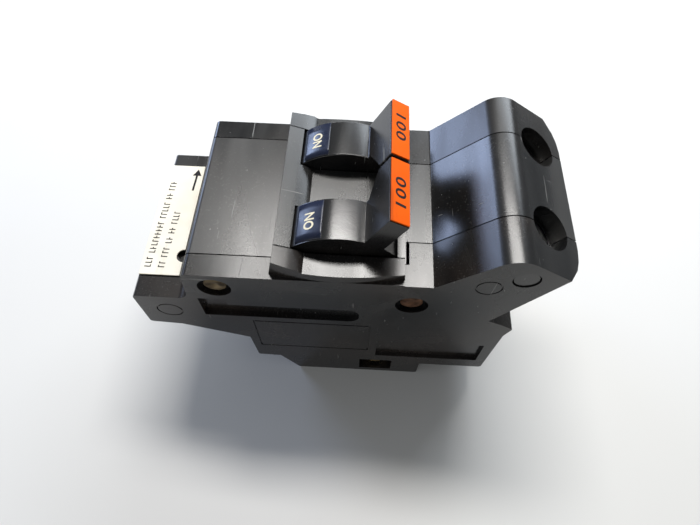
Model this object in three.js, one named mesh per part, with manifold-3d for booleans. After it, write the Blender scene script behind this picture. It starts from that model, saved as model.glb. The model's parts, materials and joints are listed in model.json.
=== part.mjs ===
import * as THREE from "three";
import { mergeVertices } from "three/addons/utils/BufferGeometryUtils.js";
import Module from "manifold-3d";

const wasm = await Module();
wasm.setup();

// Overall sizes in millimetres. X runs from the line end to the load end, Y across the poles, Z up.
const caseLength = 111.6;
const caseHeight = 75.4;
const poleWidth = 25.4;

// The side view is drawn for a case of this length and height, and stretches with the two sizes above.
const drawnLength = 111.6;
const drawnHeight = 75.4;

// Case
const coverDepth = 6.35;
const seamGap = 0.3;
const coverWall = 2.4;
const partitionHalf = 1.6;
const footHeight = 49.2;
const bodyToe = 34.4;
const coverToe = 24.4;
const stripHalf = 6.6;
const stepGap = 0.8;

// Handles
const barrelRadius = 17.3;
const barrelClearance = 0.5;
const handleAngle = 28.5;
const bladeReach = 27.7;
const bladeThickness = 5.3;
const bladeInner = 0.5;
const sideClearance = 0.35;
const shaftRadius = 2.5;
const driveCrank = 5.5;
const drivePinRadius = 1.1;

// Contacts
const armThickness = 3.8;
const armWidth = 4.8;
const tipRadius = 2.4;
const strapThickness = 2;
const jawGap = 5;
const jawThickness = 1.4;

// Terminals
const lugWidth = 15.4;
const wireBore = 11;
const lugBore = 10;
const screwHole = 11.84;
const screwRadius = 4.2;

// Small parts
const fit = 0.3;
const rivetRadius = 1.5;
const rivetHead = 3.4;
const rivetBore = 8.5;
const pinRadius = 1.5;
const labelThickness = 0.4;
const labelGap = 0.1;
const labelInset = 0.15;
const labelFrom = -55.6;
const labelTo = -44.6;
const farFootDrop = 2.6;

const halfWidth = poleWidth;
const seamY = halfWidth - coverDepth;
const headSeamY = poleWidth / 2;
const laneY = poleWidth / 2;
const cavityY = halfWidth - coverWall;
const beyond = halfWidth + 5;
const pinReach = cavityY - 0.6;

const X = (x) => (x * caseLength) / drawnLength;
const Z = (z) => (z * caseHeight) / drawnHeight;
const at = (x, z) => [X(x), Z(z)];

const pivot = at(-1.4, 53.6);
const armPivot = [pivot[0], pivot[1] - 19.6];
const cradlePivot = at(9.5, 41.5);
const armaturePivot = at(24.2, 17.6);
const tripAxis = at(24, 50);
const contactPoint = at(-13, 19.2);
const lineRivet = at(-32.6, 56);
const loadRivet = at(17.3, 51.5);
const facetPoint = at(48, 70.8);
const bimetalFoot = [X(28), Z(11.4) + 1.95];
const strapUnder = contactPoint[1] - 2 - strapThickness;
const latchReach = 1.7;

// The screw axis leans toward the load end; the wire enters at a right angle to it.
const screwLean = THREE.MathUtils.degToRad(32.8);
const screwAxis = [Math.sin(screwLean), Math.cos(screwLean)];
const wireAxis = [screwAxis[1], -screwAxis[0]];
const lugDepth = 14;
const lugCentre = [facetPoint[0] - lugDepth * screwAxis[0], facetPoint[1] - lugDepth * screwAxis[1]];

// A point of the lug's own plane: u along the wire, v along the screw.
const lugPoint = (u, v) => [
  lugCentre[0] + u * wireAxis[0] + v * screwAxis[0],
  lugCentre[1] + u * wireAxis[1] + v * screwAxis[1],
];

function solidFrom(geometry) {
  const bare = geometry.index ? geometry.toNonIndexed() : geometry.clone();
  bare.deleteAttribute("normal");
  bare.deleteAttribute("uv");
  const merged = mergeVertices(bare, 1e-4);
  return new wasm.Manifold(
    new wasm.Mesh({
      numProp: 3,
      vertProperties: new Float32Array(merged.attributes.position.array),
      triVerts: new Uint32Array(merged.index.array),
    }),
  );
}

function geometryFrom(solid) {
  const mesh = solid.getMesh();
  const geometry = new THREE.BufferGeometry();
  geometry.setAttribute("position", new THREE.BufferAttribute(new Float32Array(mesh.vertProperties), 3));
  geometry.setIndex(new THREE.BufferAttribute(new Uint32Array(mesh.triVerts), 1));
  geometry.computeVertexNormals();
  return geometry;
}

const join = (...solids) => solids.reduce((a, b) => a.add(b));
const cut = (solid, ...tools) => tools.reduce((a, b) => a.subtract(b), solid);

// An outline of [x, z] points carried along Y.
function prism(outline, y0, y1) {
  const shape = new THREE.Shape(outline.map(([x, z]) => new THREE.Vector2(x, z)));
  const low = Math.min(y0, y1);
  const high = Math.max(y0, y1);
  const geometry = new THREE.ExtrudeGeometry(shape, { depth: high - low, bevelEnabled: false });
  geometry.rotateX(Math.PI / 2);
  geometry.translate(0, high, 0);
  return solidFrom(geometry);
}

// An outline of [u, v] points on the axes uDir and vDir, carried along their cross product.
function slab(outline, origin, uDir, vDir, from, to) {
  const shape = new THREE.Shape(outline.map(([u, v]) => new THREE.Vector2(u, v)));
  const geometry = new THREE.ExtrudeGeometry(shape, { depth: to - from, bevelEnabled: false });
  geometry.translate(0, 0, from);
  const u = new THREE.Vector3(...uDir);
  const v = new THREE.Vector3(...vDir);
  const w = new THREE.Vector3().crossVectors(u, v);
  const frame = new THREE.Matrix4().makeBasis(u, v, w);
  frame.setPosition(new THREE.Vector3(...origin));
  geometry.applyMatrix4(frame);
  return solidFrom(geometry);
}

function block(x0, x1, y0, y1, z0, z1) {
  return prism(
    [
      [x0, z0],
      [x1, z0],
      [x1, z1],
      [x0, z1],
    ],
    y0,
    y1,
  );
}

function circle([x, z], radius, sides) {
  return Array.from({ length: sides }, (_, i) => {
    const angle = (2 * Math.PI * i) / sides;
    return [x + radius * Math.cos(angle), z + radius * Math.sin(angle)];
  });
}

const rod = (centre, radius, y0, y1, sides = 20) => prism(circle(centre, radius, sides), y0, y1);

// A round bar in the plane at distance y, from v0 to v1 along a direction of the side view.
function leaningRod([x, z], [dx, dz], y, radius, v0, v1, sides = 20) {
  const geometry = new THREE.CylinderGeometry(radius, radius, v1 - v0, sides);
  geometry.translate(0, (v0 + v1) / 2, 0);
  const turn = new THREE.Quaternion().setFromUnitVectors(
    new THREE.Vector3(0, 1, 0),
    new THREE.Vector3(dx, 0, dz),
  );
  geometry.applyQuaternion(turn);
  geometry.translate(x, y, z);
  return solidFrom(geometry);
}

// An upright round bar.
function upright(x, y, radius, z0, z1, sides = 20) {
  const geometry = new THREE.CylinderGeometry(radius, radius, z1 - z0, sides);
  geometry.rotateX(Math.PI / 2);
  geometry.translate(x, y, (z0 + z1) / 2);
  return solidFrom(geometry);
}

// Corners [x, z, radius] with each radius turned into an arc, finer on the large ones.
function rounded(corners) {
  return corners.flatMap(([x, z, radius = 0], i) => {
    if (radius === 0) return [[x, z]];
    const steps = Math.ceil(2 + radius);
    const [px, pz] = corners[(i + corners.length - 1) % corners.length];
    const [nx, nz] = corners[(i + 1) % corners.length];
    const back = new THREE.Vector2(px - x, pz - z).normalize();
    const ahead = new THREE.Vector2(nx - x, nz - z).normalize();
    const half = Math.acos(THREE.MathUtils.clamp(back.dot(ahead), -1, 1)) / 2;
    const reach = radius / Math.tan(half);
    const start = new THREE.Vector2(x, z).addScaledVector(back, reach);
    const end = new THREE.Vector2(x, z).addScaledVector(ahead, reach);
    const middle = back.clone().add(ahead).normalize();
    const centre = new THREE.Vector2(x, z).addScaledVector(middle, radius / Math.sin(half));
    const from = start.clone().sub(centre);
    const turn = from.angleTo(end.clone().sub(centre)) * Math.sign(from.cross(end.clone().sub(centre)));
    return Array.from({ length: steps + 1 }, (_, k) => {
      const point = from.clone().rotateAround(new THREE.Vector2(), (turn * k) / steps);
      return [centre.x + point.x, centre.y + point.y];
    });
  });
}

// The outline of a strip of even thickness that follows a path of [x, z] points.
function ribbon(path, thickness) {
  const side = (sign) =>
    path.map(([x, z], i) => {
      const before = path[Math.max(i - 1, 0)];
      const after = path[Math.min(i + 1, path.length - 1)];
      const a = new THREE.Vector2(x - before[0], z - before[1]);
      const b = new THREE.Vector2(after[0] - x, after[1] - z);
      if (i === 0) a.copy(b);
      if (i === path.length - 1) b.copy(a);
      a.normalize();
      b.normalize();
      const normal = new THREE.Vector2(-a.y - b.y, a.x + b.x).normalize();
      const reach = thickness / 2 / Math.max(normal.dot(new THREE.Vector2(-a.y, a.x)), 0.3);
      return [x + sign * reach * normal.x, z + sign * reach * normal.y];
    });
  return [...side(1), ...side(-1).reverse()];
}

// The outline above the notch, line end included, with the foot's top at a given height.
const upperOutline = (footTop) => [
  [55.8, 65.8],
  [38.2, 77.1, 6.5],
  [21.6, 61.8, 0.8],
  [14.6, 61.8],
  [14.4, 64.6],
  [9, 64.7],
  [1.5, 64.75],
  [-5, 64.85],
  [-10, 65],
  [-11.2, 66],
  [-14, 67],
  [-17.2, 68],
  [-18.4, 62.1],
  [-39.8, 62.1, 1.5],
  [-41, footTop, 3],
  [-55.8, footTop, 1],
  [-55.8, 33, 1],
  [-47, 32.2],
  [-28.3, 24.5],
  [-27.6, 10.2, 0.8],
  [-20.6, 10],
  [-15.2, 0, 1],
];

const loadOutline = [
  [44.3, 8.6, 1],
  [44.9, 34.9],
  [46.3, 39.7, 0.6],
  [42.7, 42.1],
];

// The raised underside ends at toe; the rest of the outline is shared by the body and both covers.
const caseOutline = (toe, footTop) =>
  rounded(
    [[toe, 0, 1], [toe, 8.6], ...loadOutline, ...upperOutline(footTop)].map(([x, z, r]) => [X(x), Z(z), r]),
  );
const bodyOutline = caseOutline(bodyToe, footHeight);

const cavityOutline = [
  at(-12.4, 3),
  at(21.4, 3),
  at(21.4, 11.3),
  at(41.3, 11.3),
  at(41.8, 35.6),
  at(42.4, 38.2),
  at(38.2, 41),
  at(40, 46),
  at(36.5, 54),
  at(20.6, 54),
  at(20.6, 46.5),
  at(-24.6, 46.5),
  at(-24.6, 13),
  at(-18.8, 12.8),
];

// The load strap leaves the underside of the lug, drops to the floor and turns under the bimetal.
const loadFloor = bimetalFoot[1] - 1.05;
const loadPath = [
  lugPoint(4, -8.6),
  lugPoint(-3, -8.6),
  at(33.3, 47),
  [X(33.3), loadFloor],
  [X(24.6), loadFloor],
];

const pocketOutline = [
  lugPoint(-7.4, -10.6),
  lugPoint(7.4, -10.6),
  lugPoint(7.4, 8.6),
  lugPoint(-7.4, 8.6),
];

// The slope of the head's load end, and the square direction out of it.
const endSlope = new THREE.Vector2(X(42.7) - X(55.8), Z(42.1) - Z(65.8)).normalize();
const endFace = [-endSlope.y, endSlope.x];

// The wedge that takes the corner off one side of the head, along the slope of its load end.
function headCorner(side) {
  const wedge = [
    [-4.6, -1],
    [-4.6, 0],
    [-1.6, 3.8],
    [-0.5, 6.6],
    [0, 9.8],
    [3, 9.8],
    [3, -1],
  ].map(([out, across]) => [out, side * (halfWidth - across)]);
  const [x, z] = at(42.7, 42.1);
  return slab(wedge, [x, 0, z], [endFace[0], 0, endFace[1]], [0, 1, 0], 0, 60);
}

function screwOpenings(side) {
  const y = side * laneY;
  return join(
    leaningRod(lugCentre, screwAxis, y, screwHole / 2, 7.6, 24, 32),
    leaningRod(lugCentre, wireAxis, y, wireBore / 2, 6, 30, 24),
  );
}

function hollow(side) {
  const inner = side * partitionHalf;
  const outer = side * cavityY;
  const pocketHalf = lugWidth / 2 + fit;
  return join(
    prism(cavityOutline, inner, outer),
    prism(pocketOutline, side * (laneY - pocketHalf), side * (laneY + pocketHalf)),
    prism(ribbon(loadPath.slice(0, 4), 3), side * (laneY - 4.6), side * (laneY + 4.6)),
    screwOpenings(side),
  );
}

function jawOpening(side) {
  const half = jawGap / 2 + jawThickness + 0.7;
  return block(X(4.4), X(16), side * (laneY - half), side * (laneY + half), Z(-1), Z(4));
}

function handleChamber(side) {
  const disc = rod(pivot, barrelRadius + barrelClearance, side * stripHalf, side * (seamY + seamGap), 48);
  const slotOutline = [at(-10, 46), at(7.2, 46), at(7.2, 59), at(-10, 59)];
  return join(disc, prism(slotOutline, side * partitionHalf, side * (stripHalf + 1)));
}

// The rib under the line strap, which grows out of the partition between the poles.
function strapRib(side) {
  const inner = side * (partitionHalf - 1);
  return block(X(-8), X(0), inner, side * (laneY + 3), Z(2), strapUnder - fit);
}

function centreBody() {
  const wide = prism(bodyOutline, -seamY, seamY);
  const headSides = [-1, 1].map((side) =>
    block(X(14.9), X(60), side * headSeamY, side * (seamY + 1), -1, Z(90)),
  );
  const lip = [-1, 1].map((side) => block(X(24.4) - 1, X(36), side * headSeamY, side * beyond, -1, Z(8.9)));
  let body = cut(wide, ...headSides, ...lip);
  for (const side of [-1, 1]) {
    body = cut(body, hollow(side), handleChamber(side), jawOpening(side));
    body = join(body, strapRib(side));
  }
  const through = (centre, radius) => rod(centre, radius, -halfWidth, halfWidth);
  const label = block(X(-60), X(labelTo) + fit, -seamY - 1, seamY + 1, Z(footHeight) - 0.4, Z(60));
  const bite = upright(X(labelTo), -laneY, 2, Z(footHeight) - 1.6, Z(footHeight) + 1);
  return cut(
    body,
    label,
    bite,
    through(lineRivet, rivetRadius + fit),
    through(loadRivet, rivetRadius + fit),
    through(pivot, shaftRadius + fit),
    through(armPivot, pinRadius + fit),
    through(cradlePivot, pinRadius + fit),
    through(armaturePivot, pinRadius + fit),
    through(tripAxis, 4.6),
  );
}

function cover(side) {
  const outer = side * halfWidth;
  const outline = caseOutline(coverToe, side > 0 ? footHeight - farFootDrop : footHeight);
  const plate = prism(outline, side * (seamY + seamGap), outer);
  const head = prism(outline, side * (headSeamY + seamGap), outer);
  const headOnly = block(X(14.9) + stepGap, X(60), 0, side * beyond, -1, Z(90));
  const inner = side * cavityY;
  let shell = join(plate, head.intersect(headOnly));
  shell = cut(shell, headCorner(side), hollow(side), jawOpening(side));
  const bosses = [armPivot, cradlePivot, armaturePivot, tripAxis].map((centre) =>
    rod(centre, 3.6, side * (cavityY - 2.2), side * (cavityY + 0.5)),
  );
  shell = join(shell, ...bosses);
  const sockets = [
    [armPivot, pinRadius],
    [cradlePivot, pinRadius],
    [armaturePivot, pinRadius],
    [tripAxis, 2.2],
    [pivot, shaftRadius],
  ].map(([centre, radius]) => rod(centre, radius + fit, side * (seamY - 1), side * (pinReach + 0.3)));
  const crescent = crescentCut(side);
  const rivets = [lineRivet, loadRivet].flatMap((centre) => [
    rod(centre, rivetRadius + fit, 0, side * beyond),
    rod(centre, rivetBore / 2, side * (halfWidth - 1.9), side * beyond, 28),
  ]);
  return cut(shell, ...sockets, ...rivets, crescent, ...faceRecesses(side), plugHole(side));
}

// The handle deck's edge is drawn in from the side face along a shallow arc.
function crescentCut(side) {
  const a = X(-19);
  const b = X(14.6);
  const steps = 12;
  const arc = Array.from({ length: steps + 1 }, (_, i) => {
    const t = i / steps;
    return [a + (b - a) * t, side * (halfWidth - 1.6 * (2 * t - 1) ** 2)];
  });
  const outline = [...arc, [b, side * beyond], [a, side * beyond]];
  return slab(outline, [0, 0, 0], [1, 0, 0], [0, 1, 0], Z(62.1), Z(90));
}

function faceRecesses(side) {
  const depth = (d) => side * (halfWidth - d);
  const out = side * beyond;
  const corner = 0.42 * (Z(46.6) - Z(39.6));
  const slotOutline = rounded(
    [
      [-38.4, 39.6, 0],
      [4, 39.6, corner],
      [4, 46.6, corner],
      [-31, 46.6, 0],
      [-31, 49.6, 0],
      [-38.4, 49.6, 0],
    ].map(([x, z, r]) => [X(x), Z(z), r]),
  );
  const windowOutline = [at(9.8, 14.3), at(41.5, 14.3), at(41.5, 26.7), at(9.8, 26.7)];
  return [
    prism(slotOutline, depth(1.7), out),
    prism(windowOutline, depth(1.2), out),
    block(X(5), X(15.4), side * (seamY - 1), out, Z(2.2), Z(10)),
    cut(rod(at(34.4, 63), 3.3, depth(0.3), out, 24), rod(at(34.4, 63), 2.9, 0, out, 24)),
    cut(rod(at(-47.8, 41.5), 3.6, depth(0.3), out, 24), rod(at(-47.8, 41.5), 3.2, 0, out, 24)),
    cut(
      block(X(-25.7), X(7.4), depth(0.3), out, Z(18.5), Z(37)),
      block(X(-25.7) + 0.5, X(7.4) - 0.5, 0, out, Z(18.5) + 0.5, Z(37) - 0.5),
    ),
  ];
}

const plugPoint = at(42, 67.5);

const plugRadius = 3.3;
const plugDepth = 3;

function plugHole(side) {
  return rod(plugPoint, plugRadius, side * (halfWidth - plugDepth), side * beyond, 24);
}

function plug(side) {
  const back = side * (halfWidth - plugDepth + fit);
  return rod(plugPoint, plugRadius - fit, back, side * (halfWidth - fit), 24);
}

function rivet(centre) {
  const headY = halfWidth - 1.6;
  return join(
    rod(centre, rivetRadius, -headY, headY, 16),
    rod(centre, rivetHead, -headY, -headY - 1.1, 24),
    rod(centre, rivetHead, headY, headY + 1.1, 24),
  );
}

// The barrel keeps its full radius where it shows, then draws in behind the deck.
function barrelOutline() {
  const from = -44;
  const to = 98;
  const steps = 24;
  const rim = Array.from({ length: steps + 1 }, (_, i) => {
    const angle = from + ((to - from) * i) / steps;
    const radius = barrelRadius - Math.max(0, angle - 52) * 0.037;
    const turn = THREE.MathUtils.degToRad(angle);
    return [pivot[0] + radius * Math.sin(turn), pivot[1] + radius * Math.cos(turn)];
  });
  return [...rim, [pivot[0], pivot[1]]];
}

function handle(side) {
  const lean = THREE.MathUtils.degToRad(handleAngle);
  const up = [Math.sin(lean), 0, Math.cos(lean)];
  const across = [0, side, 0];
  const near = stripHalf + sideClearance;
  const far = seamY - sideClearance;
  const bladeOutline = [
    [near, 10],
    [far, 10],
    [far, bladeReach],
    [bladeInner, bladeReach],
    [bladeInner, barrelRadius + 5.2],
    [near, barrelRadius + 0.8],
  ];
  const origin = [pivot[0], 0, pivot[1]];
  const half = bladeThickness / 2;
  const blade = slab(bladeOutline, origin, across, up, -half, half);
  const crank = [pivot[0] - driveCrank * Math.sin(lean), pivot[1] - driveCrank * Math.cos(lean)];
  const solid = join(
    prism(barrelOutline(), side * near, side * far),
    rod(pivot, 8, side * near, side * far, 28),
    rod(crank, drivePinRadius, side * (partitionHalf + 0.8), side * (near + 1), 14),
    blade,
  );
  return cut(solid, rod(pivot, shaftRadius + fit, 0, side * beyond));
}

function ratingLabel(side) {
  const lean = THREE.MathUtils.degToRad(handleAngle);
  const up = [Math.sin(lean), 0, Math.cos(lean)];
  const low = bladeReach + labelGap;
  const high = low + labelThickness;
  const inner = bladeInner + labelInset;
  const outer = seamY - sideClearance - labelInset;
  const half = bladeThickness / 2 - labelInset;
  return slab(
    [
      [inner, low],
      [outer, low],
      [outer, high],
      [inner, high],
    ],
    [pivot[0], 0, pivot[1]],
    [0, side, 0],
    up,
    -half,
    half,
  );
}

const armLane = [laneY - armWidth / 2, laneY + armWidth / 2];

// Unit vectors down the contact arm and square to it.
const tipTop = [contactPoint[0], contactPoint[1] + 2];
const armDirection = new THREE.Vector2(tipTop[0] - armPivot[0], tipTop[1] - armPivot[1]).normalize();
const armPoint = (along, out) => [
  armPivot[0] + armDirection.x * along + armDirection.y * out,
  armPivot[1] + armDirection.y * along - armDirection.x * out,
];

function contactCarrier(side) {
  const forkLane = [side * (partitionHalf + 0.7), side * (stripHalf - fit)];
  const lean = THREE.MathUtils.degToRad(10);
  const forkUp = [-Math.sin(lean), Math.cos(lean)];
  const forkPoint = (out, up) => [
    armPivot[0] + forkUp[0] * up + forkUp[1] * out,
    armPivot[1] + forkUp[1] * up - forkUp[0] * out,
  ];
  const slotHalf = drivePinRadius + 0.35;
  const forkOutline = (half, low, high) => [
    forkPoint(-half, low),
    forkPoint(half, low),
    forkPoint(half, high),
    forkPoint(-half, high),
  ];
  const fork = prism(forkOutline(3.2, 0, 15.9), ...forkLane);
  const slot = prism(forkOutline(slotHalf, 12, 17), 0, side * stripHalf);
  const plateLane = [side * (armLane[0] - 2.8), side * (armLane[0] - fit)];
  const outlineOf = (points) => points.map(([along, out]) => armPoint(along, out));
  const plateOutline = outlineOf([
    [0, 4],
    [0, -3],
    [10.5, -1.5],
    [10.5, 2],
  ]);
  const seatOutline = outlineOf([
    [3, 2],
    [5, 8.6],
    [10.6, 8.6],
    [10.6, 7.2],
    [6, 7.2],
    [5, 2],
  ]);
  const webOutline = outlineOf([
    [3, 2],
    [5, 8.6],
    [10.6, 8.6],
    [10.6, 1.9],
    [8, 0],
  ]);
  const plate = prism(plateOutline, ...plateLane);
  const seat = prism(seatOutline, plateLane[0], side * armLane[1]);
  const web = prism(webOutline, ...plateLane);
  const hub = rod(armPivot, 4.2, forkLane[0], side * armLane[1], 24);
  const solid = cut(join(hub, cut(fork, slot), plate, seat, web), armSpace(side));
  return cut(solid, rod(armPivot, pinRadius + fit, 0, side * beyond));
}

// The room that the copper arm and its spring need inside the carrier.
function armSpace(side) {
  const half = armThickness / 2;
  const outline = [
    armPoint(4.6, -half - fit),
    armPoint(30, -half - fit),
    armPoint(30, 7.1),
    armPoint(5.6, 7.1),
    armPoint(5.4, half + fit),
    armPoint(4.6, half + fit),
  ];
  return prism(outline, side * (armLane[0] - fit), side * (armLane[1] + 2));
}

function contactArm(side) {
  const half = armThickness / 2;
  const [x, z] = tipTop;
  const outline = [
    armPoint(5, -half),
    [x + 2.9, z],
    [x - 2.7, z],
    [x - 2.7, z + 2],
    [x + 0.4, z + 3.2],
    armPoint(5, half),
  ];
  return prism(outline, side * armLane[0], side * armLane[1]);
}

function contactTip(side) {
  const [x, z] = contactPoint;
  return upright(x, side * laneY, tipRadius, z + 0.3, tipTop[1] - 0.15, 18);
}

function fixedContact(side) {
  const [x, z] = contactPoint;
  return upright(x, side * laneY, tipRadius + 0.3, z - 1.7, z, 18);
}

function contactSpring(side) {
  const turns = 3.5;
  const height = 4.4;
  const points = Array.from({ length: 43 }, (_, i) => {
    const angle = (2 * Math.PI * turns * i) / 42;
    const out = armThickness / 2 + 0.75 + (height * i) / 42 - 0.3;
    const [x, z] = armPoint(8.2 + 1.7 * Math.cos(angle), out);
    return new THREE.Vector3(x, side * laneY + 1.7 * Math.sin(angle), z);
  });
  const wire = new THREE.Shape(circle([0, 0], 0.38, 5).map(([x, y]) => new THREE.Vector2(x, y)));
  const path = new THREE.CatmullRomCurve3(points);
  return solidFrom(new THREE.ExtrudeGeometry(wire, { extrudePath: path, steps: 42 }));
}

function lineStrap(side) {
  const [x, z] = contactPoint;
  const [y0, y1] = [side * (laneY - 3.5), side * (laneY + 3.5)];
  return block(x - 4.2, X(15.6), y0, y1, strapUnder, z - 2);
}

// The spring jaw straddles the panel's blade, which lies in the plane of the side view.
function lineJaw(side) {
  const top = strapUnder - fit;
  const half = jawGap / 2;
  const full = half + jawThickness;
  const low = Z(1.2);
  const outline = [
    [-full - 0.5, low],
    [-half - 0.5, low],
    [-half, low + 3],
    [-half, top - jawThickness],
    [half, top - jawThickness],
    [half, low + 3],
    [half + 0.5, low],
    [full + 0.5, low],
    [full, low + 3.4],
    [full, top],
    [-full, top],
    [-full, low + 3.4],
  ];
  return slab(outline, [0, side * laneY, 0], [0, 1, 0], [0, 0, 1], X(5.2), X(15.2));
}

// A bowed backing spring between the jaw and the cover, riveted through its middle.
function jawSpring(side) {
  const outer = cavityY - 0.3;
  const bow = [
    [outer - 3, Z(3.2)],
    [outer - 2.2, Z(3.2)],
    [outer, Z(5)],
    [outer, Z(8)],
    [outer - 2.2, Z(10.6)],
    [outer - 3, Z(10.6)],
    [outer - 0.9, Z(7.9)],
    [outer - 0.9, Z(5.1)],
  ];
  const section = bow.map(([y, z]) => [side * y, z]);
  const leaf = slab(section, [0, 0, 0], [0, 1, 0], [0, 0, 1], X(6), X(14.4));
  const jawSide = laneY + jawGap / 2 + jawThickness + fit;
  const stem = rod(at(10.2, 6.5), 1.5, side * jawSide, side * (outer - 0.4), 16);
  const head = rod(at(10.2, 6.5), 2.1, side * (outer - 0.4), side * (outer + 1.1), 18);
  return join(leaf, stem, head);
}

function arcPlate(side, level) {
  const z = contactPoint[1] + 3 + level * 2.4;
  const x = contactPoint[0];
  const plate = block(X(-23.6), x + 0.6, side * (laneY - 6.2), side * (laneY + 6.2), z, z + 1.1);
  const throat = block(x - 8, X(0), side * (laneY - 3.4), side * (laneY + 3.4), z - 1, z + 2);
  return cut(plate, throat);
}

function arcWrap(side) {
  const low = contactPoint[1] + 1.6;
  const high = contactPoint[1] + 11;
  const back = X(-24.3);
  const outer = block(back, contactPoint[0] + 0.6, side * (laneY - 7.2), side * (laneY + 7.2), low, high);
  const inner = block(back + 0.5, X(0), side * (laneY - 6.5), side * (laneY + 6.5), low - 1, high + 1);
  return cut(outer, inner);
}

function braid(side) {
  const start = armPoint(6, -armThickness / 2 - 1.3);
  const path = [start, at(9, 26.5), at(16, 20.5), at(20.8, 14.9), at(23.2, 13.7)];
  return prism(ribbon(path, 1.5), side * (laneY - 2), side * (laneY + 2));
}

function loadStrap(side) {
  const strip = prism(ribbon(loadPath, 1.4), side * (laneY - 4), side * (laneY + 4));
  return cut(strip, leaningRod(at(28, 18), [1, 0], side * laneY, 1.8, 0, 12));
}

function bimetal(side) {
  const [x, z] = bimetalFoot;
  const outline = [
    [x - 3.4, z],
    [x + 0.5, z],
    [x + 0.5, Z(43)],
    [x - 0.5, Z(43)],
    [x - 0.5, z + 1.2],
    [x - 3.4, z + 1.2],
  ];
  return prism(outline, side * (laneY - 2.5), side * (laneY + 2.5));
}

function magnetYoke(side) {
  const back = X(33.3) - 1.05;
  const outer = block(X(26.6), back, side * (laneY - 6), side * (laneY + 6), Z(22), Z(32));
  const inner = block(X(26), back - 1.6, side * (laneY - 4.4), side * (laneY + 4.4), Z(21), Z(33));
  return cut(outer, inner);
}

function armature(side) {
  const [x, z] = armaturePivot;
  const plate = block(x - 0.7, x + 0.8, side * (laneY - 5.8), side * (laneY + 5.8), z - 1, Z(32.5));
  const finger = block(x - 0.7, x + 0.8, side * (laneY + 3.8), side * (laneY + 5.8), Z(32), Z(44));
  const hinge = rod(armaturePivot, 2.6, side * (laneY - 5.8), side * (laneY + 5.8), 18);
  return cut(join(plate, finger, hinge), rod(armaturePivot, pinRadius + fit, 0, side * beyond));
}

function cradle(side) {
  const [x, z] = cradlePivot;
  const outline = [[x - 1, z - 2.4], [x + 2, z - 2.4], at(20, 42.6), at(20.3, 45.6), [x, z + 2.6]];
  const arm = prism(outline, side * (laneY - 2), side * (laneY + 2));
  const hub = rod(cradlePivot, 3, side * (laneY - 4), side * (laneY + 4), 20);
  return cut(join(arm, hub), rod(cradlePivot, pinRadius + fit, 0, side * beyond));
}

function tripBar() {
  const bar = rod(tripAxis, 2.2, -pinReach, pinReach, 20);
  const [x, z] = tripAxis;
  const pulled = armaturePivot[0] + 0.8 + latchReach;
  const heated = bimetalFoot[0] + 1.4;
  const fingers = [-1, 1].flatMap((side) => [
    block(x - 1.4, pulled + 1.2, side * (laneY + 3.9), side * (laneY + 5.6), z - 1.5, z + 1),
    block(pulled, pulled + 1.2, side * (laneY + 3.9), side * (laneY + 5.6), Z(42.5), z + 1),
    block(x, heated + 1, side * (laneY - 2), side * (laneY + 2), z - 2, z - 0.4),
    block(heated, heated + 1, side * (laneY - 2), side * (laneY + 2), Z(41.8), z - 0.4),
    block(x - 3.3, x, side * (laneY - 2), side * (laneY + 2), z - 2, z),
  ]);
  return join(bar, ...fingers);
}

function lug(side) {
  const outline = [lugPoint(-7, -7.5), lugPoint(7, -7.5), lugPoint(7, 8.2), lugPoint(-7, 8.2)];
  const half = lugWidth / 2;
  return cut(
    prism(outline, side * (laneY - half), side * (laneY + half)),
    leaningRod(lugCentre, wireAxis, side * laneY, lugBore / 2, -10, 10, 28),
    leaningRod(lugCentre, screwAxis, side * laneY, screwRadius + fit, 0, 12, 24),
  );
}

function lugScrew(side) {
  const shank = leaningRod(lugCentre, screwAxis, side * laneY, screwRadius, 5.3, 9.2, 24);
  const y = side * laneY;
  const slot = slab(
    [
      [-6, -0.6],
      [6, -0.6],
      [6, 0.6],
      [-6, 0.6],
    ],
    [lugCentre[0], y, lugCentre[1]],
    [wireAxis[0], 0, wireAxis[1]],
    [0, 1, 0],
    7.6,
    14,
  );
  return cut(shank, slot);
}

const calibrationScrew = (side) => leaningRod(at(28, 18), [1, 0], side * laneY, 1.4, 0.9, 9.5, 16);

const throughPin = (centre) => rod(centre, pinRadius, -pinReach, pinReach, 16);

function lineLabel() {
  const top = Z(footHeight);
  const plate = block(X(labelFrom), X(labelTo), -seamY + 0.2, seamY - 0.2, top - 0.25, top + 0.15);
  return cut(plate, upright(X(labelTo), -laneY, 2, top - 2, top + 2));
}

const looks = {
  phenolic: { color: 0x17181a, roughness: 0.38, metalness: 0 },
  paper: { color: 0xe9e2cf, roughness: 0.8, metalness: 0 },
  orange: { color: 0xee5a22, roughness: 0.5, metalness: 0 },
  copper: { color: 0xb87246, roughness: 0.35, metalness: 1 },
  brass: { color: 0xb08d57, roughness: 0.4, metalness: 1 },
  silver: { color: 0xc9c6c0, roughness: 0.3, metalness: 1 },
  steel: { color: 0x8d9094, roughness: 0.4, metalness: 1 },
  fibre: { color: 0x6b4a2b, roughness: 0.85, metalness: 0 },
  aluminium: { color: 0xb9bcc0, roughness: 0.45, metalness: 1 },
};

const breaker = new THREE.Group();
breaker.name = "molded_case_breaker";

function add(name, solid, look) {
  const mesh = new THREE.Mesh(geometryFrom(solid), new THREE.MeshStandardMaterial(looks[look]));
  mesh.name = name;
  breaker.add(mesh);
}

add("centre_body", centreBody(), "phenolic");
add("line_label", lineLabel(), "paper");
add("line_rivet", rivet(lineRivet), "brass");
add("load_rivet", rivet(loadRivet), "copper");
add("handle_shaft", rod(pivot, shaftRadius, -pinReach, pinReach, 24), "steel");
add("arm_pin", throughPin(armPivot), "steel");
add("cradle_pin", throughPin(cradlePivot), "steel");
add("armature_pin", throughPin(armaturePivot), "steel");
add("trip_bar", tripBar(), "fibre");

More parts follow.
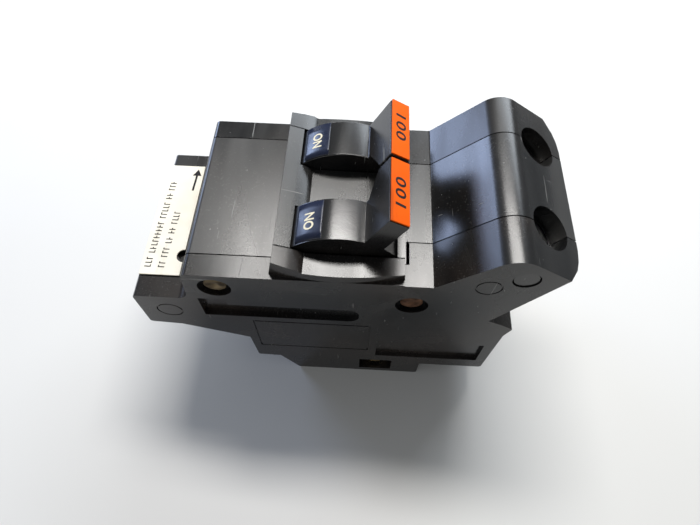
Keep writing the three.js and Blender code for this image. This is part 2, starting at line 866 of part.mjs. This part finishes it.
for (const [pole, side] of [
  ["near", -1],
  ["far", 1],
]) {
  add(pole + "_cover", cover(side), "phenolic");
  add(pole + "_plug", plug(side), "phenolic");
  add(pole + "_handle", handle(side), "phenolic");
  add(pole + "_rating_label", ratingLabel(side), "orange");
  add(pole + "_line_jaw", lineJaw(side), "copper");
  add(pole + "_line_strap", lineStrap(side), "copper");
  add(pole + "_jaw_spring", jawSpring(side), "brass");
  add(pole + "_fixed_contact", fixedContact(side), "silver");
  add(pole + "_contact_carrier", contactCarrier(side), "fibre");
  add(pole + "_contact_arm", contactArm(side), "copper");
  add(pole + "_contact_tip", contactTip(side), "silver");
  add(pole + "_contact_spring", contactSpring(side), "steel");
  add(pole + "_braid", braid(side), "copper");
  add(pole + "_arc_wrap", arcWrap(side), "fibre");
  for (const level of [0, 1, 2]) {
    add(pole + "_arc_plate_" + (level + 1), arcPlate(side, level), "steel");
  }
  add(pole + "_load_strap", loadStrap(side), "copper");
  add(pole + "_bimetal", bimetal(side), "brass");
  add(pole + "_magnet_yoke", magnetYoke(side), "steel");
  add(pole + "_armature", armature(side), "steel");
  add(pole + "_cradle", cradle(side), "steel");
  add(pole + "_lug", lug(side), "aluminium");
  add(pole + "_lug_screw", lugScrew(side), "steel");
  add(pole + "_calibration_screw", calibrationScrew(side), "brass");
}

export default breaker;
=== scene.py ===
import json
import math

import bmesh
import bpy
import numpy as np
from mathutils import Matrix, Vector


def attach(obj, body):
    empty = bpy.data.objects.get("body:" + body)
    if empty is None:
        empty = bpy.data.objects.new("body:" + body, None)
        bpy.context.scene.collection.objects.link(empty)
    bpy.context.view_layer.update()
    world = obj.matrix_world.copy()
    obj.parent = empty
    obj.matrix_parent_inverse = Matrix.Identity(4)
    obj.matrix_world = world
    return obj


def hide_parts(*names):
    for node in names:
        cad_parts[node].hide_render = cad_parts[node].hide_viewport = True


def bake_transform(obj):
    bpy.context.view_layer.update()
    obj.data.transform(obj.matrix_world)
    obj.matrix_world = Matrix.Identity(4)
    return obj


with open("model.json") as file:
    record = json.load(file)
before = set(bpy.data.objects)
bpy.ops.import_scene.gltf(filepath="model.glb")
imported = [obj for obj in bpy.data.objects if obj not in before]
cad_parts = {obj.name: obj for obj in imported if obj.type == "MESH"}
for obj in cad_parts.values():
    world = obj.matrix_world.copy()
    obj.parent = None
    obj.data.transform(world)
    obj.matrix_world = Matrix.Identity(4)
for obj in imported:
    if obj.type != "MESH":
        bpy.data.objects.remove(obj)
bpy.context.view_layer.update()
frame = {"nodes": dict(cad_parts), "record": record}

mm = 0.001
poles = {"near": -1, "far": 1}
handlePivot = np.array([-1.4, 0.0, 53.6])
handleLean = math.radians(28.5)
barrelRadius = 17.3
laneY = 12.7  # middle of a pole, from the plane between the two
sideFace = 25.4  # outer face of each cover
footTop = 49.2
bladeEnd = 28.2  # outer face of the rating label, from the handle pivot
print("stage: frame loaded with", len(frame["nodes"]), "nodes")


# Every material mixes noise patterns on object coordinates.
def newMaterial(name):
    material = bpy.data.materials.new(name)
    material.use_nodes = True
    tree = material.node_tree
    tree.nodes.clear()
    output = tree.nodes.new("ShaderNodeOutputMaterial")
    shader = tree.nodes.new("ShaderNodeBsdfPrincipled")
    tree.links.new(shader.outputs[0], output.inputs[0])
    return material, tree, shader


def stretched(tree, scale, turn=(0, 0, 0)):
    coords = tree.nodes.new("ShaderNodeTexCoord")
    mapping = tree.nodes.new("ShaderNodeMapping")
    mapping.inputs["Scale"].default_value = scale
    mapping.inputs["Rotation"].default_value = turn
    tree.links.new(coords.outputs["Object"], mapping.inputs["Vector"])
    return mapping.outputs[0]


def noise(tree, scale, detail=4.0, stretch=(1, 1, 1), turn=(0, 0, 0), distortion=0.0):
    node = tree.nodes.new("ShaderNodeTexNoise")
    node.inputs["Scale"].default_value = scale
    node.inputs["Detail"].default_value = detail
    node.inputs["Distortion"].default_value = distortion
    tree.links.new(stretched(tree, stretch, turn), node.inputs["Vector"])
    return node.outputs["Fac"]


def ramp(tree, value, low, high, start=0.0, end=1.0):
    node = tree.nodes.new("ShaderNodeMapRange")
    node.clamp = True
    node.inputs["From Min"].default_value = low
    node.inputs["From Max"].default_value = high
    node.inputs["To Min"].default_value = start
    node.inputs["To Max"].default_value = end
    tree.links.new(value, node.inputs["Value"])
    return node.outputs[0]


def maths(tree, operation, first, second):
    node = tree.nodes.new("ShaderNodeMath")
    node.operation = operation
    for socket, value in zip(node.inputs, (first, second)):
        if isinstance(value, (int, float)):
            socket.default_value = value
        else:
            tree.links.new(value, socket)
    return node.outputs[0]


def blendColours(tree, factor, first, second):
    node = tree.nodes.new("ShaderNodeMix")
    node.data_type = "RGBA"
    for socket, value in ((node.inputs[6], first), (node.inputs[7], second)):
        if isinstance(value, tuple):
            socket.default_value = (*value, 1)
        else:
            tree.links.new(value, socket)
    tree.links.new(factor, node.inputs[0])
    return node.outputs[2]


def bump(tree, shader, height, strength, distance):
    node = tree.nodes.new("ShaderNodeBump")
    node.inputs["Strength"].default_value = strength
    node.inputs["Distance"].default_value = distance
    tree.links.new(height, node.inputs["Height"])
    tree.links.new(node.outputs[0], shader.inputs["Normal"])


phenolicLook = {
    "colour": (0.0060, 0.0062, 0.0066),
    "brownTint": (0.011, 0.0088, 0.0075),
    "dustColour": (0.17, 0.165, 0.155),
    "scratchColour": (0.21, 0.21, 0.20),
    "roughLow": 0.17,
    "roughHigh": 0.38,
    "dustAmount": 0.20,
    "grain": 0.25,
    "gloss": 0.5,
}


# Old moulded resin: polished black with dust, hairline scratches in three directions and a fine pitted grain.
def phenolicMaterial(name, look, turn=0.0):
    material, tree, shader = newMaterial(name)
    cloud = noise(tree, 38, 5, turn=(0.3, 0.2, turn))
    smear = noise(tree, 60, 6, (1, 0.22, 1), (0.1, 0, 0.5 + turn), 0.6)
    dust = ramp(tree, noise(tree, 1700, 3), 0.58, 0.76)
    hairA = ramp(tree, noise(tree, 55, 2, (26, 1, 6), (0.2, 0.1, 0.7 + turn)), 0.735, 0.76)
    hairB = ramp(tree, noise(tree, 48, 2, (1, 30, 4), (0.0, 0.3, 0.35 + turn)), 0.745, 0.77)
    hairC = ramp(tree, noise(tree, 70, 2, (20, 20, 1), (0.9, 0.2, turn)), 0.75, 0.775)
    hairs = maths(tree, "MAXIMUM", maths(tree, "MAXIMUM", hairA, hairB), hairC)
    base = blendColours(tree, ramp(tree, cloud, 0.42, 0.66), look["colour"], look["brownTint"])
    film = maths(tree, "MULTIPLY", ramp(tree, smear, 0.42, 0.75), look["dustAmount"] * 0.35)
    dustPatches = maths(tree, "MULTIPLY", dust, ramp(tree, cloud, 0.35, 0.7))
    specks = maths(tree, "MULTIPLY", dustPatches, look["dustAmount"])
    dusty = blendColours(tree, maths(tree, "ADD", film, specks), base, look["dustColour"])
    scratched = blendColours(tree, maths(tree, "MULTIPLY", hairs, 0.55), dusty, look["scratchColour"])
    tree.links.new(scratched, shader.inputs["Base Color"])
    rough = ramp(tree, smear, 0.3, 0.75, look["roughLow"], look["roughHigh"])
    roughened = maths(tree, "ADD", rough, maths(tree, "MULTIPLY", hairs, 0.25))
    tree.links.new(roughened, shader.inputs["Roughness"])
    shader.inputs["Specular IOR Level"].default_value = look["gloss"]
    grain = maths(tree, "MULTIPLY", noise(tree, 1500, 2), look["grain"])
    pits = maths(tree, "ADD", grain, maths(tree, "MULTIPLY", hairs, -0.5))
    waves = maths(tree, "MULTIPLY", noise(tree, 90, 2), 0.9)
    bump(tree, shader, maths(tree, "ADD", pits, waves), 0.35, 0.00008)
    return material


# Plated or bare metal: drawn streaks, stains that darken and roughen it, and small dents.
def metalMaterial(name, colour, stain, rough, streak=(1, 1, 14)):
    material, tree, shader = newMaterial(name)
    patches = ramp(tree, noise(tree, 260, 5), 0.42, 0.68)
    lines = noise(tree, 420, 3, streak)
    mixed = blendColours(tree, patches, colour, stain)
    tree.links.new(mixed, shader.inputs["Base Color"])
    shader.inputs["Metallic"].default_value = 1.0
    drawn = ramp(tree, lines, 0.3, 0.7, rough - 0.08, rough + 0.1)
    roughened = maths(tree, "ADD", drawn, maths(tree, "MULTIPLY", patches, 0.2))
    tree.links.new(roughened, shader.inputs["Roughness"])
    bump(tree, shader, maths(tree, "ADD", lines, maths(tree, "MULTIPLY", patches, 0.6)), 0.3, 0.00005)
    return material


# Paper or film: fibres, soft yellowing and small scuffs that show a second colour.
def sheetMaterial(name, colour, aged, scuff, rough, scuffAmount):
    material, tree, shader = newMaterial(name)
    aging = ramp(tree, noise(tree, 70, 5), 0.35, 0.72)
    marks = ramp(tree, noise(tree, 160, 4, (1, 0.2, 1), (0, 0, 0.4)), 0.64, 0.7, 0, scuffAmount)
    mixed = blendColours(tree, aging, colour, aged)
    tree.links.new(blendColours(tree, marks, mixed, scuff), shader.inputs["Base Color"])
    uneven = ramp(tree, noise(tree, 300, 3), 0.3, 0.7, rough - 0.1, rough + 0.12)
    tree.links.new(uneven, shader.inputs["Roughness"])
    bump(tree, shader, noise(tree, 2200, 3, (1, 0.3, 1)), 0.22, 0.00004)
    return material


bodyMaterial = phenolicMaterial("centreResin", {**phenolicLook, "dustAmount": 0.42})
nearLook = {**phenolicLook, "gloss": 0.42, "roughHigh": 0.34, "brownTint": (0.016, 0.012, 0.010)}
nearMaterial = phenolicMaterial("nearResin", nearLook, 0.8)
farMaterial = phenolicMaterial("farResin", phenolicLook, 1.9)
handleLook = {**phenolicLook, "roughLow": 0.16, "roughHigh": 0.3, "dustAmount": 0.2}
handleMaterial = phenolicMaterial("handleResin", handleLook, 2.6)
steelMaterial = metalMaterial("zincSteel", (0.42, 0.42, 0.41), (0.20, 0.19, 0.17), 0.32)
copperMaterial = metalMaterial("agedCopper", (0.42, 0.20, 0.10), (0.13, 0.06, 0.035), 0.4)
brassMaterial = metalMaterial("dullBrass", (0.50, 0.36, 0.17), (0.20, 0.14, 0.07), 0.36)
rivetBrassMaterial = metalMaterial("tarnishedBrass", (0.19, 0.145, 0.085), (0.055, 0.042, 0.028), 0.5)
rivetCopperMaterial = metalMaterial("tarnishedCopper", (0.20, 0.105, 0.06), (0.055, 0.03, 0.02), 0.5)
silverMaterial = metalMaterial("silverAlloy", (0.68, 0.67, 0.64), (0.30, 0.28, 0.25), 0.26)
aluminiumMaterial = metalMaterial("lugAluminium", (0.62, 0.63, 0.64), (0.36, 0.36, 0.36), 0.36)
sheetLooks = {  # colour, aged colour, scuff colour, roughness, scuff amount
    "pressedFibre": ((0.17, 0.075, 0.035), (0.11, 0.05, 0.025), (0.26, 0.15, 0.09), 0.72, 0.5),
    "agedPaper": ((0.80, 0.77, 0.68), (0.72, 0.66, 0.53), (0.45, 0.41, 0.33), 0.66, 0.35),
    "orangeFilm": ((0.80, 0.118, 0.002), (0.72, 0.094, 0.002), (0.38, 0.055, 0.006), 0.55, 0.6),
    "navyFilm": ((0.0045, 0.008, 0.026), (0.006, 0.010, 0.030), (0.03, 0.035, 0.06), 0.3, 0.5),
    "creamInk": ((0.72, 0.66, 0.48), (0.62, 0.56, 0.40), (0.35, 0.31, 0.22), 0.55, 0.4),
    "blackInk": ((0.006, 0.005, 0.005), (0.010, 0.008, 0.008), (0.05, 0.03, 0.02), 0.6, 0.25),
}
sheets = {name: sheetMaterial(name, *look) for name, look in sheetLooks.items()}
fibreMaterial, paperMaterial, orangeMaterial, navyMaterial, creamInk, blackInk = sheets.values()
for material, gloss in ((orangeMaterial, 0.08), (blackInk, 0.2)):
    material.node_tree.nodes["Principled BSDF"].inputs["Specular IOR Level"].default_value = gloss
print("stage: materials made")


# Joins a grid of points, rows by columns, into quads; either direction may close on itself.
def gridFaces(rows, columns, closeRows, closeColumns):
    r = np.arange(rows if closeRows else rows - 1)
    c = np.arange(columns if closeColumns else columns - 1)
    r, c = np.meshgrid(r, c, indexing="ij")
    nextRow = (r + 1) % rows
    nextColumn = (c + 1) % columns
    here, below = r * columns, nextRow * columns
    corners = (here + c, below + c, below + nextColumn, here + nextColumn)
    return np.stack(corners, -1).reshape(-1, 4)


# Makes a mesh from points in millimetres and lets it ride a body, unless body is None.
def addPiece(name, points, faces, material, body, smooth=True):
    mesh = bpy.data.meshes.new(name)
    mesh.from_pydata((np.asarray(points) * mm).tolist(), [], [list(map(int, face)) for face in faces])
    mesh.polygons.foreach_set("use_smooth", np.full(len(mesh.polygons), smooth))
    mesh.update()
    piece = bpy.data.objects.new(name, mesh)
    bpy.context.scene.collection.objects.link(piece)
    piece.data.materials.append(material)
    if body:
        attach(piece, body)
    return piece


# Turns a profile of (radius, distance along Y) points about centre: x = r sin a, z = r cos a.
def revolved(profile, centre, segments):
    profile = np.asarray(profile, float)
    angle = np.linspace(0, 2 * np.pi, segments, endpoint=False)
    radius, along = profile[:, 0][:, None], profile[:, 1][:, None]
    x = centre[0] + radius * np.sin(angle)
    z = centre[1] + radius * np.cos(angle)
    y = along + 0 * angle
    return np.stack([x, y, z], -1).reshape(-1, 3), gridFaces(len(profile), segments, False, True)


# Carries a circle along a path: path + r (cos a * side + sin a * over), each end closed by one face.
def tube(path, radius, sides=10):
    path = np.asarray(path, float)
    ahead = np.gradient(path, axis=0)
    ahead /= np.linalg.norm(ahead, axis=1)[:, None]
    side = np.cross(ahead, [0.13, 0.97, 0.2])
    side /= np.linalg.norm(side, axis=1)[:, None]
    over = np.cross(side, ahead)
    angle = np.linspace(0, 2 * np.pi, sides, endpoint=False)
    ring = np.cos(angle)[None, :, None] * side[:, None] + np.sin(angle)[None, :, None] * over[:, None]
    points = (path[:, None] + radius * ring).reshape(-1, 3)
    faces = gridFaces(len(path), sides, False, True).tolist()
    last = (len(path) - 1) * sides
    return points, faces + [list(range(sides)), list(range(last + sides - 1, last - 1, -1))]


# A point of the leaning handle: out along the blade, square to it, and across the poles.
def handlePoint(radial, tangential, y):
    x = handlePivot[0] + radial * math.sin(handleLean) + tangential * math.cos(handleLean)
    z = handlePivot[2] + radial * math.cos(handleLean) - tangential * math.sin(handleLean)
    return x, y, z


rivetLook = {
    "headRadius": 2.9,
    "headHeight": 1.0,
    "dimple": 1.2,
    "dimpleDepth": 0.6,
    "shank": 1.5,
    "seatDepth": 1.55,
    "segments": 40,
}


# Both heads are shallow domes, height h (1 - 0.45 (r/R)^2), less a dimple d exp(-(r/w)^2) in the middle.
def rivet(name, node, centre, material):
    look = rivetLook
    seat = sideFace - look["seatDepth"]
    count = look["segments"]
    r = np.linspace(0.02, 1, 14) * look["headRadius"]
    dome = look["headHeight"] * (1 - 0.45 * (r / look["headRadius"]) ** 2)
    dome = dome - look["dimpleDepth"] * np.exp(-((r / look["dimple"]) ** 2))
    face = np.stack([r, seat + dome], -1)
    half = np.vstack([face, [[look["headRadius"], seat], [look["shank"], seat]]])
    other = half[::-1] * [1, -1]
    profile = np.vstack([half, other])
    points, faces = revolved(profile, centre, count)
    first = len(profile) - 1
    caps = [list(range(count - 1, -1, -1)), [first * count + i for i in range(count)]]
    piece = addPiece(name, points, faces.tolist() + caps, material, "case")
    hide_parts(node)
    return piece


# Turns every face outward.
def fixNormals(piece):
    work = bmesh.new()
    work.from_mesh(piece.data)
    bmesh.ops.recalc_face_normals(work, faces=work.faces)
    work.to_mesh(piece.data)
    work.free()


fixNormals(rivet("lineRivetDomed", "line_rivet", (-32.6, 56.0), rivetBrassMaterial))
fixNormals(rivet("loadRivetDomed", "load_rivet", (17.3, 51.5), rivetCopperMaterial))
print("stage: rivets made")

patchLook = {
    "fromDegrees": -38.0,
    "toDegrees": -15.0,
    "thickness": 0.16,
    "inset": 0.35,
    "barrelFrom": 6.95,
    "barrelTo": 18.7,
}


# A thin sheet wrapped on the barrel: x = R sin a, z = R cos a, its edges turned down to the barrel.
def stateSheet(pole, side):
    look = patchLook
    angles = np.radians(np.linspace(look["fromDegrees"], look["toDegrees"], 24))
    angles = np.concatenate([angles[:1], angles, angles[-1:]])
    lift = np.full(len(angles), barrelRadius + look["thickness"])
    lift[[0, -1]] = barrelRadius - 0.1
    low, high = look["barrelFrom"] + look["inset"], look["barrelTo"] - look["inset"]
    across = np.array([low, low, *np.linspace(low, high, 6)[1:-1], high, high])
    edge = np.zeros(len(across))
    edge[[0, -1]] = look["thickness"] + 0.1
    radius = np.minimum(lift[:, None], (barrelRadius + look["thickness"] - edge)[None, :])
    x = handlePivot[0] + radius * np.sin(angles)[:, None]
    z = handlePivot[2] + radius * np.cos(angles)[:, None]
    y = side * across[None, :] + 0 * x
    points = np.stack([x, y, z], -1).reshape(-1, 3)
    faces = gridFaces(len(angles), len(across), False, False)
    fixNormals(addPiece(pole + "StateSheet", points, faces, navyMaterial, "handles"))


# Splits every triangle into four through its edges' midpoints, so a flat letter can follow a curve.
def finer(points, faces, rounds):
    tris = np.array([[face[0], face[i], face[i + 1]] for face in faces for i in range(1, len(face) - 1)])
    for _ in range(rounds):
        count = len(points)
        pairs = np.sort(np.vstack([tris[:, [0, 1]], tris[:, [1, 2]], tris[:, [2, 0]]]), axis=1)
        unique, index = np.unique(pairs, axis=0, return_inverse=True)
        ab, bc, ca = (index.reshape(-1) + count).reshape(3, -1)
        points = np.vstack([points, points[unique].mean(1)])
        a, b, c = tris.T
        tris = np.vstack([np.stack(t, -1) for t in ((a, ab, ca), (ab, b, bc), (ca, bc, c), (ab, bc, ca))])
    return points, tris.tolist()


# Flat letters as a mesh: x along the line, y up the glyph, centred, scaled to a height in millimetres.
def letters(text, capHeight, slant, squeeze=1.0, bold=0.0, spacing=1.0):
    curve = bpy.data.curves.new("letters", "FONT")
    curve.body = text
    curve.extrude = 0.0
    curve.shear = slant
    curve.offset = bold
    curve.space_character = spacing
    curve.resolution_u = 4
    curve.align_x = "CENTER"
    holder = bpy.data.objects.new("letters", curve)
    bpy.context.scene.collection.objects.link(holder)
    bpy.context.view_layer.update()
    mesh = bpy.data.meshes.new_from_object(holder.evaluated_get(bpy.context.evaluated_depsgraph_get()))
    points = np.zeros(len(mesh.vertices) * 3)
    mesh.vertices.foreach_get("co", points)
    points = points.reshape(-1, 3)
    faces = [list(face.vertices) for face in mesh.polygons]
    bpy.data.objects.remove(holder)
    points, faces = finer(points, faces, 3)
    middle = (points.min(0) + points.max(0)) / 2
    scale = capHeight / (points.max(0) - points.min(0))[1]
    flat = (points - middle) * scale
    flat[:, 0] *= squeeze
    return flat[:, :2], faces


stateLook = {"height": 2.75, "squeeze": 0.86, "bold": 0.022, "atDegrees": -26.5, "across": 12.9, "lift": 0.03}


# Letters wrapped on the barrel: the glyph's height becomes angle, its width runs across the pole.
def stateLetters(pole, side):
    look = stateLook
    flat, faces = letters("ON", look["height"], 0.0, look["squeeze"], look["bold"])
    turn = -side
    angle = math.radians(look["atDegrees"]) - turn * flat[:, 1] / barrelRadius
    radius = barrelRadius + patchLook["thickness"] + look["lift"]
    x = handlePivot[0] + radius * np.sin(angle)
    z = handlePivot[2] + radius * np.cos(angle)
    y = side * look["across"] + turn * flat[:, 0]
    points = np.stack([x, y, z], -1)
    addPiece(pole + "StateLetters", points, faces, creamInk, "handles", False)


figuresLook = {
    "height": 2.9,
    "slant": 0.08,
    "squeeze": 1.42,
    "bold": 0.016,
    "spacing": 1.16,
    "across": 10.0,
    "lift": 0.03,
}


# Rating figures lie on the blade's end face, along the pole's width.
def ratingFigures(pole, side):
    look = figuresLook
    flat, faces = letters("100", look["height"], look["slant"], look["squeeze"], look["bold"], look["spacing"])
    turn = -side
    across = side * look["across"] + turn * flat[:, 0]
    points = np.stack(handlePoint(bladeEnd + look["lift"], -turn * flat[:, 1], across), -1)
    addPiece(pole + "RatingFigures", points, faces, blackInk, "handles", False)


for pole, side in poles.items():
    stateSheet(pole, side)
    stateLetters(pole, side)
    ratingFigures(pole, side)
print("stage: handle markings made")

printLook = {"capHeight": 1.75, "stem": 0.3, "pitch": 1.18, "wordGap": 1.5, "skew": 0.035}
# Each row's place along the foot, and how many stems stand in each of its groups.
printRows = {-52.3: (3, 9, 5, 2, 3), -48.6: (2, 3, 2, 2, 4)}
arrowTip = (-47.0, 17.6)
arrowLeft = [(-47.3, 9.6), (-47.3, 15.2), (-48.3, 15.2)]
arrowRight = [(-45.7, 15.2), (-46.7, 15.2), (-46.7, 9.6)]


# Print on the foot label: rows of plain stems and cross strokes in groups, and an arrow, flat in one mesh.
def labelPrint():
    look = printLook
    top = footTop + 0.15 + 0.02  # the label's thickness above the foot, and a hair more
    rng = np.random.default_rng(11)
    boxes = []
    for rowX, words in printRows.items():
        y = -16.6
        for count in words:
            for _ in range(count):
                boxes.append((rowX - look["capHeight"], rowX, y, y + look["stem"]))
                level = rowX - look["capHeight"] * rng.choice([0.0, 0.5, 1.0]) * 0.84
                boxes.append((level - 0.28, level, y, y + look["pitch"] * rng.uniform(0.5, 0.72)))
                y += look["pitch"]
            y += look["wordGap"] * 0.6
    corners = np.array([[(a, c), (b, c), (b, d), (a, d)] for a, b, c, d in boxes]).reshape(-1, 2)
    arrow = np.array([*arrowLeft, arrowTip, *arrowRight])
    flat = np.vstack([corners, arrow])
    flat[:, 0] += look["skew"] * flat[:, 1]
    points = np.column_stack([flat, np.full(len(flat), top)])
    faces = np.arange(len(corners)).reshape(-1, 4).tolist()
    faces.append(list(range(len(corners) + len(arrow) - 1, len(corners) - 1, -1)))
    fixNormals(addPiece("labelPrint", points, faces, blackInk, "case", False))


labelPrint()
print("stage: label print made")

springLook = {"turns": 4.5, "radius": 1.7, "wire": 0.34, "steps": 120}


# A coil between the arm and its seat: the circle r (cos a, sin a) climbs square to the arm, 2.4 + 4.3 t.
def contactSpring(pole, side):
    look = springLook
    pivot = np.array([-1.4, 34.0])
    ahead = np.array([-13.0, 21.2]) - pivot
    ahead /= np.linalg.norm(ahead)
    out = np.array([ahead[1], -ahead[0]])
    t = np.linspace(0, 1, look["steps"])
    angle = 2 * np.pi * look["turns"] * t
    along = 8.2 + look["radius"] * np.cos(angle)
    rise = 2.4 + 4.3 * t
    x = pivot[0] + ahead[0] * along + out[0] * rise
    z = pivot[1] + ahead[1] * along + out[1] * rise
    y = side * laneY + look["radius"] * np.sin(angle)
    points, faces = tube(np.stack([x, y, z], -1), look["wire"], 8)
    piece = addPiece(pole + "CoilSpring", points, faces, steelMaterial, pole + "_contacts")
    fixNormals(piece)
    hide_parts(pole + "_contact_spring")


braidLook = {"strands": 7, "radius": 0.62, "spread": 0.95, "twists": 3.0, "steps": 60}


# Twisted strands about one smooth line: offset = spread * (sin, 0.5 cos)(twist + strand).
def flexibleBraid(pole, side):
    look = braidLook
    guide = np.array([[-3.4, 27.2], [3.5, 28.4], [9, 26.3], [16, 20.5], [20.6, 15.4], [23.6, 13.9]])
    t = np.linspace(0, 1, look["steps"])
    knots = np.linspace(0, 1, len(guide))
    line = np.stack([np.interp(t, knots, guide[:, 0]), np.interp(t, knots, guide[:, 1])], -1)
    kernel = np.ones(9) / 9
    padded = np.pad(line, ((4, 4), (0, 0)), "edge")
    line = np.stack([np.convolve(padded[:, i], kernel, "valid") for i in range(2)], -1)
    allPoints, allFaces = [], []
    for strand in range(look["strands"]):
        phase = 2 * np.pi * (look["twists"] * t + strand / look["strands"])
        across = side * laneY + look["spread"] * np.sin(phase)
        rise = line[:, 1] + 0.5 * look["spread"] * np.cos(phase)
        path = np.stack([line[:, 0], across, rise], -1)
        points, faces = tube(path, look["radius"] * 0.6, 6)
        start = sum(len(p) for p in allPoints)
        allPoints.append(points)
        allFaces += [[i + start for i in face] for face in faces]
    points = np.vstack(allPoints)
    piece = addPiece(pole + "TwistedBraid", points, allFaces, copperMaterial, None)
    fixNormals(piece)
    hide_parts(pole + "_braid")
    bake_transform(piece)


for pole, side in poles.items():
    contactSpring(pole, side)
    flexibleBraid(pole, side)
print("stage: springs and braids made")


# Welds the loose triangles, merges flat ones and rounds the edges of a part of the frame.
def soften(node, width, segments=2, angle=28):
    part = frame["nodes"][node]
    part.data.polygons.foreach_set("use_smooth", np.ones(len(part.data.polygons), bool))
    weld = part.modifiers.new("weld", "WELD")
    weld.merge_threshold = 0.000002
    flat = part.modifiers.new("flat", "DECIMATE")
    flat.decimate_type = "DISSOLVE"
    flat.angle_limit = math.radians(0.6)
    edge = part.modifiers.new("edge", "BEVEL")
    edge.width = width * mm
    edge.segments = segments
    edge.limit_method = "ANGLE"
    edge.angle_limit = math.radians(angle)
    edge.use_clamp_overlap = True
    even = part.modifiers.new("even", "WEIGHTED_NORMAL")
    even.weight = 100


def paint(node, material):
    part = frame["nodes"][node]
    part.data.materials.clear()
    part.data.materials.append(material)


caseParts = {"centre_body": bodyMaterial, "near_cover": nearMaterial, "far_cover": farMaterial}
for node, material in caseParts.items():
    paint(node, material)
    soften(node, 0.32)

slotMaterials = {
    "black_phenolic": handleMaterial,
    "paper_label": paperMaterial,
    "orange_label": orangeMaterial,
    "brass": brassMaterial,
    "copper": copperMaterial,
    "silver_alloy": silverMaterial,
    "fibre": fibreMaterial,
    "steel": steelMaterial,
    "aluminium": aluminiumMaterial,
}
edgeWidths = {"near_handle": 0.45, "far_handle": 0.45, "near_lug": 0.3, "far_lug": 0.3}
for entry in frame["record"]["subparts"]:
    node = entry["node"]
    if node not in caseParts:
        paint(node, slotMaterials[entry["material_slot"]])
        soften(node, edgeWidths.get(node, 0.1), 2, 32)
print("stage: carried-over parts painted")


floorLook = {"size": 1.6, "colour": (0.66, 0.655, 0.64)}


def makeFloor():
    material, tree, shader = newMaterial("paleFloor")
    cloud = noise(tree, 9, 3)
    shade = tuple(0.96 * value for value in floorLook["colour"])
    tree.links.new(blendColours(tree, cloud, floorLook["colour"], shade), shader.inputs["Base Color"])
    tree.links.new(ramp(tree, noise(tree, 40, 3), 0.3, 0.7, 0.55, 0.7), shader.inputs["Roughness"])
    half = floorLook["size"] / 2
    mesh = bpy.data.meshes.new("floor")
    corners = [(-half, -half, 0), (half, -half, 0), (half, half, 0), (-half, half, 0)]
    mesh.from_pydata(corners, [], [(0, 1, 2, 3)])
    floor = bpy.data.objects.new("floor", mesh)
    bpy.context.scene.collection.objects.link(floor)
    floor.data.materials.append(material)


def areaLight(name, place, target, size, power, colour):
    data = bpy.data.lights.new(name, "AREA")
    data.shape = "RECTANGLE"
    data.size, data.size_y = size
    data.energy = power
    data.color = colour
    light = bpy.data.objects.new(name, data)
    bpy.context.scene.collection.objects.link(light)
    light.location = place
    light.rotation_euler = (Vector(target) - Vector(place)).to_track_quat("-Z", "Y").to_euler()


lights = {
    "window": ((0.30, 0.80, 0.55), (0, 0, 0.04), (0.7, 0.4), 6.5, (0.86, 0.93, 1.0)),
    "skylight": ((-0.66, 0.55, 0.30), (0.03, 0, 0.06), (0.35, 0.25), 2.9, (0.55, 0.68, 1.0)),
    "ceiling": ((0.03, 0.272, 0.60), (0.005, -0.02, 0.06), (0.42, 0.12), 4.4, (1.0, 0.98, 0.95)),
    "front": ((-0.35, -0.75, 0.30), (0, 0, 0.03), (0.4, 0.25), 0.7, (1.0, 0.96, 0.9)),
}
makeFloor()
for name, settings in lights.items():
    areaLight(name, *settings)

world = bpy.data.worlds.new("softRoom")
world.use_nodes = True
world.node_tree.nodes["Background"].inputs[0].default_value = (0.80, 0.84, 0.88, 1)
world.node_tree.nodes["Background"].inputs[1].default_value = 0.30
bpy.context.scene.world = world
bpy.context.scene.view_settings.view_transform = "Standard"

cameraData = bpy.data.cameras.new("camera")
cameraData.sensor_width = 36
cameraData.lens = 27.2
cameraData.clip_start = 0.005
camera = bpy.data.objects.new("camera", cameraData)
bpy.context.scene.collection.objects.link(camera)
right = Vector((0.99866835, 0.05076773, 0.00917456))
up = Vector((-0.04851554, 0.86370805, 0.50165192))
back = right.cross(up)
turn = Matrix((right, up, back)).transposed().to_4x4()
camera.matrix_world = Matrix.Translation((0.0034, -0.08452, 0.174)) @ turn
bpy.context.scene.camera = camera
print("stage: room, lights and camera made")
